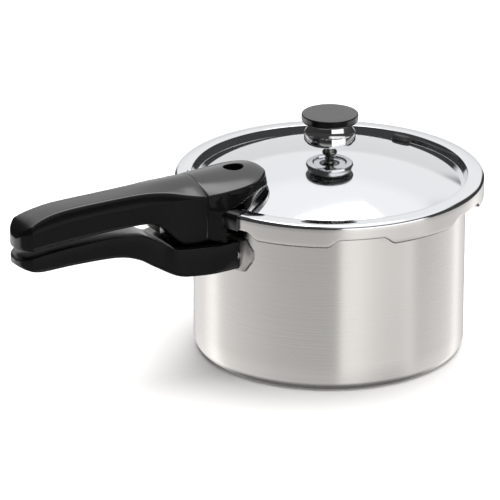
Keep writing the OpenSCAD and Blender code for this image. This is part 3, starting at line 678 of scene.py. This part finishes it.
def makeGrip():
    piece = asObject("coverHandleGripMoulded",
                     loft([gripSection(s) for s in stations(seamS, tipS, 2.4, grip["tail"], True)]))
    low, high = bottom("cover_handle_bracket"), top("cover_handle_bracket")
    screwLow = bottom("cover_handle_screws")
    tongueMid = low.z + 2.5
    carve(piece, slab(low.x - 0.3, -seamS + 5, 9.3, tongueMid - 2.8, tongueMid + 2.8))
    screwAt = -top("cover_handle_screws").x + 4.5, -bottom("cover_handle_screws").x - 4.5
    for s in screwAt:
        if s - 5 > seamS:
            carve(piece, rod(5, upperBlockZ - 5, screwLow.z + 2.5, (-s, 0)),
                  rod(2.7, upperBlockZ, tongueMid, (-s, 0)))
    return finishPiece(piece, phenolicBlack, "black_phenolic", "cover", "cover_handle_grip",
                       sharp=34)


front = {
    "halfWidth": [(60.9, 0.4), (62.2, 8.2), (66, 15.6), (73, 22), (84, 25.8), (107, 27), (121, 26)],
    "flare": [(60.9, 0.4), (62, 1.4), (64, 2.6), (66, 3), (69.5, 2.2), (73, 1.1), (79, 0.6),
              (88, 1.4), (97, 4), (105, 6.2), (109.5, 7), (114, 4.4), (121, 0)],
    "crown": [(60.9, handleTop - 5), (62, handleTop - 3.2), (65, handleTop - 1.4),
              (71, handleTop - 0.3), (80, handleTop), (121, handleTop)],
    "rise": [(60.9, 0.3), (64, 1.8), (72, 4.6), (88, 7), (105, 8.2), (121, 9)],
    "drop": [(60.9, 0.2), (66, 1.1), (75, 0.9), (88, 0.5), (121, 0.5)],
    "reach": [(60.9, 0.5), (66, 2.4), (75, 2), (88, 1.5), (121, 1.5)],
    "visor": [(60.9, 144.6), (63, 143.9), (66, 143.4), (73, 143.5), (79, 142.2), (86, 140.4),
              (97, 137.2), (105, 136.2), (109, 136)],
    "dropS": 107, "window": 7, "tail": 12,
}


def frontSection(s):
    inset = softened(frontEnd + seamS - s, seamS)
    visor = smoothValue(front["visor"], s)
    isBlock = s > front["dropS"]
    low = upperBlockZ + inset if isBlock else visor
    halfWidth = smoothValue(front["halfWidth"], s) - inset
    crownZ = smoothValue(front["crown"], s) - inset
    shoulder = smoothValue(front["drop"], s), smoothValue(front["reach"], s)
    return placed(s, crownedHalf(halfWidth, low, crownZ, smoothValue(front["rise"], s), shoulder,
                                 2.2 if isBlock else 0.4, smoothValue(front["flare"], s),
                                 136 if isBlock else None))


frontEnd = seamS - 0.2


def coverRoom(grow=0.1):
    outline = roundedOutline(coverOutline(0, grow) + [(coverR + grow, 60)], steps=6)
    outline = [(0, 60), (0, domeHeight(0) + grow)] + [tuple(p) for p in outline]
    return lathe(outline, 256)


def makeFront():
    tail = front["tail"]
    nose = [noseS + tail * (1 - math.cos(math.pi / 2 * k / 16)) for k in range(16)]
    rest = [noseS + tail + (front["dropS"] - noseS - tail) * k / 14 for k in range(15)]
    block = [front["dropS"] + 0.05, 109.5, 112, 114.5, 117, 119]
    end = [frontEnd - 0.25, frontEnd - 0.08, frontEnd]
    places = nose + rest + block + end
    piece = asObject("coverHandleFrontMoulded", loft([frontSection(s) for s in places]))
    windowCut = lathe(roundedOutline([
        (0, 120), (front["window"], 120), (front["window"], handleTop - 0.9, 0.6),
        (front["window"] + 2.5, handleTop + 1.2), (0, handleTop + 1.2)], steps=5), 96,
        False, (lockX, 0))
    low = bottom("cover_handle_bracket")
    carve(piece, coverRoom(), windowCut)
    carve(piece, slab(-seamS - 5, -coverR + 3, 9.3, low.z - 0.3, low.z + 5.3),
          lathe([(coverR - 2, low.z - 0.3), (coverR + 2.8, low.z - 0.3),
                 (coverR + 2.8, ringZ - 3.2), (coverR - 2, ringZ - 3.2)], 24,
                angle=math.radians(21), start=math.radians(169.5)))
    return finishPiece(piece, phenolicBlack, "black_phenolic", "cover", "cover_handle_front",
                       sharp=34)


base = {
    "top": [(61.2, 1), (62, 8.6), (64, 14), (66, 18), (70, 20.8), (79, 24.3), (88, 27), (97, 30),
            (106, 33)],
    "waist": [(61.2, 0.6), (62, 6.4), (64, 11.6), (66, 15.6), (70, 18.6), (79, 23), (86, 28),
              (97, 34), (106, 38)],
    "start": 61.2, "end": 108, "under": 128, "tail": 12,
    # outer edge of the thin feet that lie along the cover's flat ring, as angle and radius
    "foot": [(12, 96, 108), (18, 97, 107.6), (22, 98.5, 107.2), (25, 100.5, 106.8),
             (28, 102.4, 106.4), (30.5, 104, 106), (31.4, 104.9, 105.6)],
    "footT": [(12, 2.2), (20, 1.9), (31.4, 0.7)],
    "wingAngle": 22.4, "wingStart": 14, "wingT": 2.4, "wingLow": 123.5,
}


def baseSection(s):
    high = smoothValue(front["visor"], s) - 0.3
    topWide = smoothValue(base["top"], s)
    waist = smoothValue(base["waist"], s)
    footZ = domeHeight(min(math.hypot(s, waist), cover["panelR"])) + 0.8
    footZ = min(footZ, high - 0.8)
    corners = [(0, base["under"]), (waist * 0.6, base["under"]), (waist, base["under"]),
               (waist, footZ, 0.6), (topWide, high, 0.6), (topWide * 0.5, high), (0, high)]
    return placed(s, roundedOutline(corners, steps=4))


def mirrored(bm):
    bmesh.ops.mirror(bm, geom=bm.verts[:] + bm.edges[:] + bm.faces[:], axis="Y",
                     matrix=Matrix.Identity(4), merge_dist=0)
    return bm


def baseFeet():
    bm = bmesh.new()
    rings = []
    for angle, inner, outer in base["foot"]:
        thick = smoothValue(base["footT"], angle)
        away = math.radians(180 + angle)
        flat = Vector((math.cos(away), math.sin(away), 0))
        rings.append([flat * inner + Vector((0, 0, 125)), flat * outer + Vector((0, 0, 125)),
                      flat * outer + Vector((0, 0, ringZ + thick * 0.4)),
                      flat * (outer - 0.8) + Vector((0, 0, ringZ + thick)),
                      flat * (inner + 0.8) + Vector((0, 0, ringZ + thick)),
                      flat * inner + Vector((0, 0, ringZ + thick * 0.4))])
    verts, edges = chain(bm, [p * mm for p in rings[0]], True)
    bm.faces.new(verts)
    for ring in rings[1:]:
        verts, edges = sweepOn(bm, verts, edges, [p * mm for p in ring], True)
    bm.faces.new(verts)
    bmesh.ops.recalc_face_normals(bm, faces=bm.faces)
    return mirrored(bm)


def baseWings():
    wing = lathe(roundedOutline([
        (coverR - 8, ringZ - 1), (coverR - 8, ringZ + 0.9, 0.4),
        (coverR + base["wingT"], ringZ + 0.9, 4.2),
        (coverR + base["wingT"], base["wingLow"], 0.6), (coverR + 0.1, base["wingLow"], 0.3),
        (coverR + 0.1, ringZ - 1, 0.2)], closed=True, steps=5), 10,
        angle=math.radians(base["wingAngle"] - base["wingStart"]),
        start=math.radians(180 + base["wingStart"]))
    return mirrored(wing)


def makeBase():
    tail = base["tail"]
    first, last = base["start"], base["end"]
    places = [first + tail * (1 - math.cos(math.pi / 2 * k / 14)) for k in range(14)]
    places += [first + tail + (last - first - tail) * k / 22 for k in range(23)]
    piece = asObject("coverHandleSaddle", loft([baseSection(s) for s in places]))
    gasketR = (top("cover_lock_gasket").x - bottom("cover_lock_gasket").x) / 2
    carve(piece, baseFeet(), operation="UNION")
    carve(piece, coverRoom(), rod(front["window"], 120, 160, (lockX, 0)),
          rod(gasketR + 2.2, 120, top("cover_lock_gasket").z, (lockX, 0)))
    wings = asObject("coverHandleWings", baseWings())
    carve(wings, coverRoom())
    finishPiece(wings, phenolicBlack, "black_phenolic", "cover", sharp=34)
    return finishPiece(piece, phenolicBlack, "black_phenolic", "cover", "cover_handle_base",
                       sharp=34)


lower = {
    "halfWidth": [(96, 33), (118, 33), (130, 30.6), (145, 25.8), (158, 19), (172, 15.5),
                  (190, 14.1), (240, 14), (255, 14.5)],
    "high": [(96, 110), (145, 110), (151, 112.6), (160, 118), (168, 121.8), (180, 124),
             (200, 125), (225, 124.8), (245, 123.8), (259, 122.8), (264, 121.8), (267, 120.4)],
    "low": [(96, 88), (138, 88), (146, 89.4), (153, 92.8), (162, 98), (170, 103), (182, 107.2),
            (195, 109), (225, 110.2), (246, 110.2), (252, 110.6), (257, 111.7), (262, 113.6),
            (265, 115.2), (267, 116.6)],
    "tail": 8,
}


def lowerSection(s):
    halfWidth = endWidth(s, smoothValue(lower["halfWidth"], s), lower)
    high, low = smoothValue(lower["high"], s), smoothValue(lower["low"], s)
    corners = [(0, low), (halfWidth * 0.5, low), (halfWidth, low, 3),
               (halfWidth, (low + high) / 2), (halfWidth, high, 0.9), (halfWidth * 0.5, high),
               (0, high)]
    return placed(s, roundedOutline(corners, steps=5))


def makeLowerHandle():
    piece = asObject("potHandleMoulded",
                     loft([lowerSection(s) for s in stations(95, tipS, 2.4, lower["tail"])]))
    low, high = bottom("pot_handle_bracket"), top("pot_handle_bracket")
    middle = (low.z + high.z) / 2
    screwHead = (bottom("pot_handle_screw") + top("pot_handle_screw")) / 2
    washer = bottom("pot_handle_washer").z
    carve(piece, rod(bracketR + 0.05, 60, 125, steps=256))
    carve(piece, slab(low.x - 0.3, -bracketR + 4, 9.3, middle - 2.8, middle + 2.8))
    carve(piece, rod(5.5, 70, top("pot_handle_washer").z, (screwHead.x, 0)),
          rod(2.7, washer, middle, (screwHead.x, 0)))
    return finishPiece(piece, phenolicBlack, "black_phenolic", "pot", "pot_handle", sharp=34)


makeGrip()
makeFront()
makeBase()
makeLowerHandle()
print("handles made")


def makeRegulator():
    low, high = bottom("regulator_weight").z, top("regulator_weight").z
    wide = top("regulator_weight").x
    outline = roundedOutline([
        (0, high), (15.9, high, 0.2), (16.1, high - 1.6), (16.5, high - 3.6), (17.1, high - 5.3),
        (18.1, high - 6.9), (18.5, high - 7.3, 0.3), (18.2, high - 7.8, 0.2),
        (wide - 0.3, high - 8.3, 0.3), (wide, low + 2, 0.6), (wide - 0.9, low, 0.6),
        (13.6, low, 0.5), (13, low + 2.2, 0.8), (8.2, low + 2.2, 0.4), (6.6, low + 4, 0.4),
        (6.5, low + 9.8), (3.1, low + 10.2, 0.3), (3.05, high - 1.6), (0, high - 1.6)], steps=5)
    piece = asObject("regulatorWeightChrome", lathe(outline, 160, False))
    finishPiece(piece, chrome, "bright_chrome", "regulator", "regulator_weight")
    capLow, capHigh = bottom("regulator_cap").z, top("regulator_cap").z
    capR = top("regulator_cap").x
    outline = roundedOutline([
        (0, capHigh - 0.2), (6, capHigh - 0.2), (12, capHigh - 0.15), (capR - 0.5, capHigh, 0.35),
        (capR, capHigh - 0.6, 0.35), (capR, capHigh - 4.4, 0.4), (capR - 0.5, capLow + 0.8, 0.5),
        (capR - 1.1, capLow, 0.3), (16.6, capLow, 0.3), (16.3, capLow + 0.5), (15.5, capLow + 0.05),
        (0, capLow + 0.05)], steps=5)
    piece = asObject("regulatorCapMoulded", lathe(outline, 160, False))
    finishPiece(piece, capBlack, "regulator_black", "regulator", "regulator_cap")


def makeVentPipe():
    low, high = bottom("vent_pipe").z, top("vent_pipe").z
    seat = top("cover_shell").z
    outline = [(1.3, high), (2.6, high, 0.2), (3.1, high - 1.2, 0.2), (3.5, high - 3.2, 0.3),
               (3.5, high - 6, 0.2), (3.1, high - 6.8, 0.2), (3.1, high - 8.4, 0.2),
               (3.5, high - 9.2, 0.2), (3.6, seat + 3.0, 0.3), (4.1, seat + 2.2, 0.4),
               (5.2, seat + 0.8, 0.4), (5.6, seat + 0.02, 0.1), (3.95, seat + 0.02)]
    thread = [(3.95 if k % 2 else 3.55, seat - 1.9 - 0.4 * k) for k in range(18)]
    outline += thread + [(3.6, low + 0.4, 0.2), (3.2, low), (1.3, low)]
    piece = asObject("ventPipeTurned", lathe(roundedOutline(outline, True, 3), 72))
    finishPiece(piece, stainless, "stainless_steel", "cover", "vent_pipe", sharp=30)


def makePlug():
    plug = {"radius": 7.15, "height": 4.4, "place": 88, "angle": 19}
    neck = plug["radius"] - 2.5
    outline = roundedOutline([
        (0, 3.9), (3.4, 3.9, 0.5), (4, 4.35, 0.4), (plug["radius"] - 0.1, plug["height"], 1.5),
        (plug["radius"], 0.3, 0.3), (neck - 0.05, 0.25, 0.1), (neck - 0.05, -coverT - 0.2, 0.1),
        (neck + 1.6, -coverT - 0.4, 0.4), (neck + 1.2, -coverT - 2.3, 0.6),
        (neck - 2, -coverT - 2.3, 0.3), (neck - 2.2, 0, 0.6), (0, 0)], steps=4)
    bm = lathe(outline, 96, False)
    radius = domeRadius()
    centreZ = ringZ - cover["step"] + cover["domeRise"] - radius
    tilt = math.asin(plug["place"] / radius)
    turn = (Matrix.Rotation(math.radians(plug["angle"]), 4, "Z")
            @ Matrix.Translation((0, 0, centreZ * mm)) @ Matrix.Rotation(tilt, 4, "Y")
            @ Matrix.Translation((0, 0, radius * mm)))
    bmesh.ops.transform(bm, matrix=turn, verts=bm.verts)
    finishPiece(asObject("overpressurePlugMoulded", bm), rubber, "black_rubber", "cover",
                "overpressure_plug")


makeRegulator()
makeVentPipe()
makePlug()
print("regulator, pipe and plug made")


# brackets, rivets, screws and the small pieces inside
fittings = {
    "pot_handle_bracket": (bracketMetal, "bracket_metal", "pot", 0.5),
    "pot_bracket_rivets": (bracketMetal, "bracket_metal", "pot", 0.4),
    "pot_handle_washer": (platedSteel, "plated_steel", "pot", 0.15),
    "pot_handle_screw": (platedSteel, "plated_steel", "pot", 0.25),
    "locking_bracket": (stainless, "stainless_steel", "pot", 0.2),
    "locking_bracket_rivets": (satinMetal, "satin_aluminium", "pot", 0.2),
    "cooking_rack": (rackMetal, "rack_aluminium", "rack", 0.15),
    "sealing_ring": (rubber, "black_rubber", "cover", 0.3),
    "vent_pipe_nut": (platedSteel, "plated_steel", "cover", 0.3),
    "vent_pipe_washer": (platedSteel, "plated_steel", "cover", 0.1),
    "cover_handle_bracket": (bracketMetal, "bracket_metal", "cover", 0.4),
    "cover_bracket_rivets": (bracketMetal, "bracket_metal", "cover", 0.2),
    "cover_handle_screws": (platedSteel, "plated_steel", "cover", 0.25),
    "cover_lock_gasket": (rubber, "black_rubber", "cover", 0.2),
    "cover_lock_pin": (stainless, "stainless_steel", "cover_lock", 0.25),
    "cover_lock_foot": (stainless, "stainless_steel", "cover_lock", 0.15),
    "regulator_needle": (stainless, "stainless_steel", "regulator", 0.15),
    "regulator_clip": (stainless, "stainless_steel", "regulator", 0.1),
}


def softEdged(node, material, slotName, body, width):
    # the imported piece's own shape with its edges broken
    bm = bmesh.new()
    bm.from_mesh(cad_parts[node].data)
    bmesh.ops.remove_doubles(bm, verts=bm.verts, dist=2e-5)
    bmesh.ops.dissolve_limit(bm, angle_limit=math.radians(1.0), verts=bm.verts, edges=bm.edges)
    words = node.split("_")
    name = words[0] + "".join(w.capitalize() for w in words[1:]) + "Finished"
    finishPiece(asObject(name, bm), material, slotName, body, node, sharp=32, bevel=width)


for node, (material, slotName, body, width) in fittings.items():
    softEdged(node, material, slotName, body, width)
print("fittings made")


def makeFloor():
    bm = bmesh.new()
    bmesh.ops.create_grid(bm, x_segments=2, y_segments=2, size=12)
    floor = asObject("floor", bm)
    made, tree, shader = newMaterial("paleFloor", (0.94, 0.93, 0.915), 0, 0.7)
    speckle = noise(tree, objectPlace(tree), 300, 3, 0.5)
    tinted(tree, shader, speckle, (0.935, 0.922, 0.905), (0.95, 0.938, 0.922))
    floor.data.materials.append(made)
    floor.visible_glossy = False


studio = {
    "turn": 33,     # degrees from the frame to the camera's own direction
    # brightness round the horizon, against the angle from the camera, anticlockwise negative
    "low": [(-180, 0.62), (-164, 0.68), (-158, 1.0), (-146, 1.03), (-132, 1.12), (-123, 1.5),
            (-112, 1.6), (-107, 1.15), (-102, 1.06), (-90, 0.99), (-80, 0.95), (-61, 0.88),
            (-44, 0.82), (-20, 0.79), (8.5, 0.78), (10.5, 1.0), (26, 0.95), (34, 0.82), (42, 0.7),
            (51, 0.63), (60, 0.59), (68, 0.62), (77, 0.88), (112, 0.97), (128, 1.08), (134, 1.5),
            (141, 1.5), (147, 1.0), (158, 0.95), (165, 0.68), (180, 0.62)],
    "middle": [(-180, 0.78), (-165, 0.78), (-160, 0.04), (8.5, 0.03), (10.5, 1.4), (70, 1.35),
               (77, 0.06), (160, 0.04), (165, 0.78), (180, 0.78)],
    "ring": [(-180, 0.93), (-155, 0.93), (-142, 0.05), (142, 0.05), (155, 0.93), (180, 0.93)],
    "high": [(-180, 1.02), (-140, 1.02), (-112, 0.04), (-8, 0.04), (10, 1.0), (180, 1.02)],
    "floorLight": 3.0,
    "below": 0.14,
    "overhead": 1.12,
}


def bands(tree, place, stops):
    return ramp(tree, place, [((angle + 180) / 360, level) for angle, level in stops])


def makeWorld():
    world = bpy.data.worlds.new("studio")
    world.use_nodes = True
    bpy.context.scene.world = world
    tree = world.node_tree
    sky = tree.nodes["Background"]
    direction = addNode(tree, "TexCoord").outputs["Generated"]
    turned = addNode(tree, "VectorRotate", {"rotation_type": "Z_AXIS"}, Vector=direction,
                     Angle=math.radians(studio["turn"])).outputs[0]
    parts = addNode(tree, "SeparateXYZ", Vector=turned)
    x, y, z = parts.outputs[0], parts.outputs[1], parts.outputs[2]
    angle = maths(tree, "ARCTAN2", x, maths(tree, "MULTIPLY", y, -1))
    place = maths(tree, "ADD", maths(tree, "DIVIDE", angle, 2 * math.pi), 0.5)

    def blended(fac, first, second):
        mix = addNode(tree, "Mix", {"data_type": "RGBA"})
        tree.links.new(fac, mix.inputs[0])
        for socket, value in ((mix.inputs[6], first), (mix.inputs[7], second)):
            if isinstance(value, float):
                socket.default_value = (value, value, value, 1)
            else:
                tree.links.new(value, socket)
        return mix.outputs[2]

    def rising(low, high):
        return smoothRise(tree, z, low, high)

    standing = blended(rising(-0.8, -0.55), studio["below"], bands(tree, place, studio["low"]))
    lowHalf = blended(rising(-0.32, -0.2), standing, bands(tree, place, studio["middle"]))
    side = blended(rising(0.28, 0.35), lowHalf, bands(tree, place, studio["ring"]))
    upper = blended(rising(0.6, 0.72), side, bands(tree, place, studio["high"]))
    whole = blended(rising(0.88, 0.97), upper, studio["overhead"])
    spread = addNode(tree, "LightPath").outputs["Is Diffuse Ray"]
    strength = maths(tree, "ADD", maths(tree, "MULTIPLY", spread, studio["floorLight"] - 1), 1)
    tree.links.new(strength, sky.inputs["Strength"])
    tree.links.new(whole, sky.inputs["Color"])


softbox = {"size": (1.6, 1.2), "energy": 14, "place": (0.1, 0.2, 1.9)}


def makeSoftbox():
    light = bpy.data.lights.new("softboxAbove", "AREA")
    light.shape = "RECTANGLE"
    light.size, light.size_y = softbox["size"]
    light.energy = softbox["energy"]
    box = bpy.data.objects.new("softboxAbove", light)
    bpy.context.scene.collection.objects.link(box)
    box.location = softbox["place"]


view = {
    "turn": -33, "back": 2.7201, "height": 1.1373, "yaw": -0.0217, "pitch": 0.3734,
    "lens": 281.04, "sensor": 36,
}


def makeCamera():
    data = bpy.data.cameras.new("camera")
    data.lens, data.sensor_width = view["lens"], view["sensor"]
    data.clip_start, data.clip_end = 0.1, 60
    camera = bpy.data.objects.new("camera", data)
    bpy.context.scene.collection.objects.link(camera)
    yaw, pitch = view["yaw"], view["pitch"]
    forward = Vector((math.sin(yaw) * math.cos(pitch), math.cos(yaw) * math.cos(pitch),
                      -math.sin(pitch)))
    turn = Matrix.Rotation(math.radians(view["turn"]), 3, "Z")
    camera.location = turn @ Vector((0, -view["back"], view["height"]))
    camera.rotation_euler = (turn @ forward).to_track_quat("-Z", "Y").to_euler()
    bpy.context.scene.camera = camera


makeFloor()
makeWorld()
makeSoftbox()
makeCamera()
bpy.context.scene.view_settings.view_transform = "Standard"
print("stage, light and camera made")
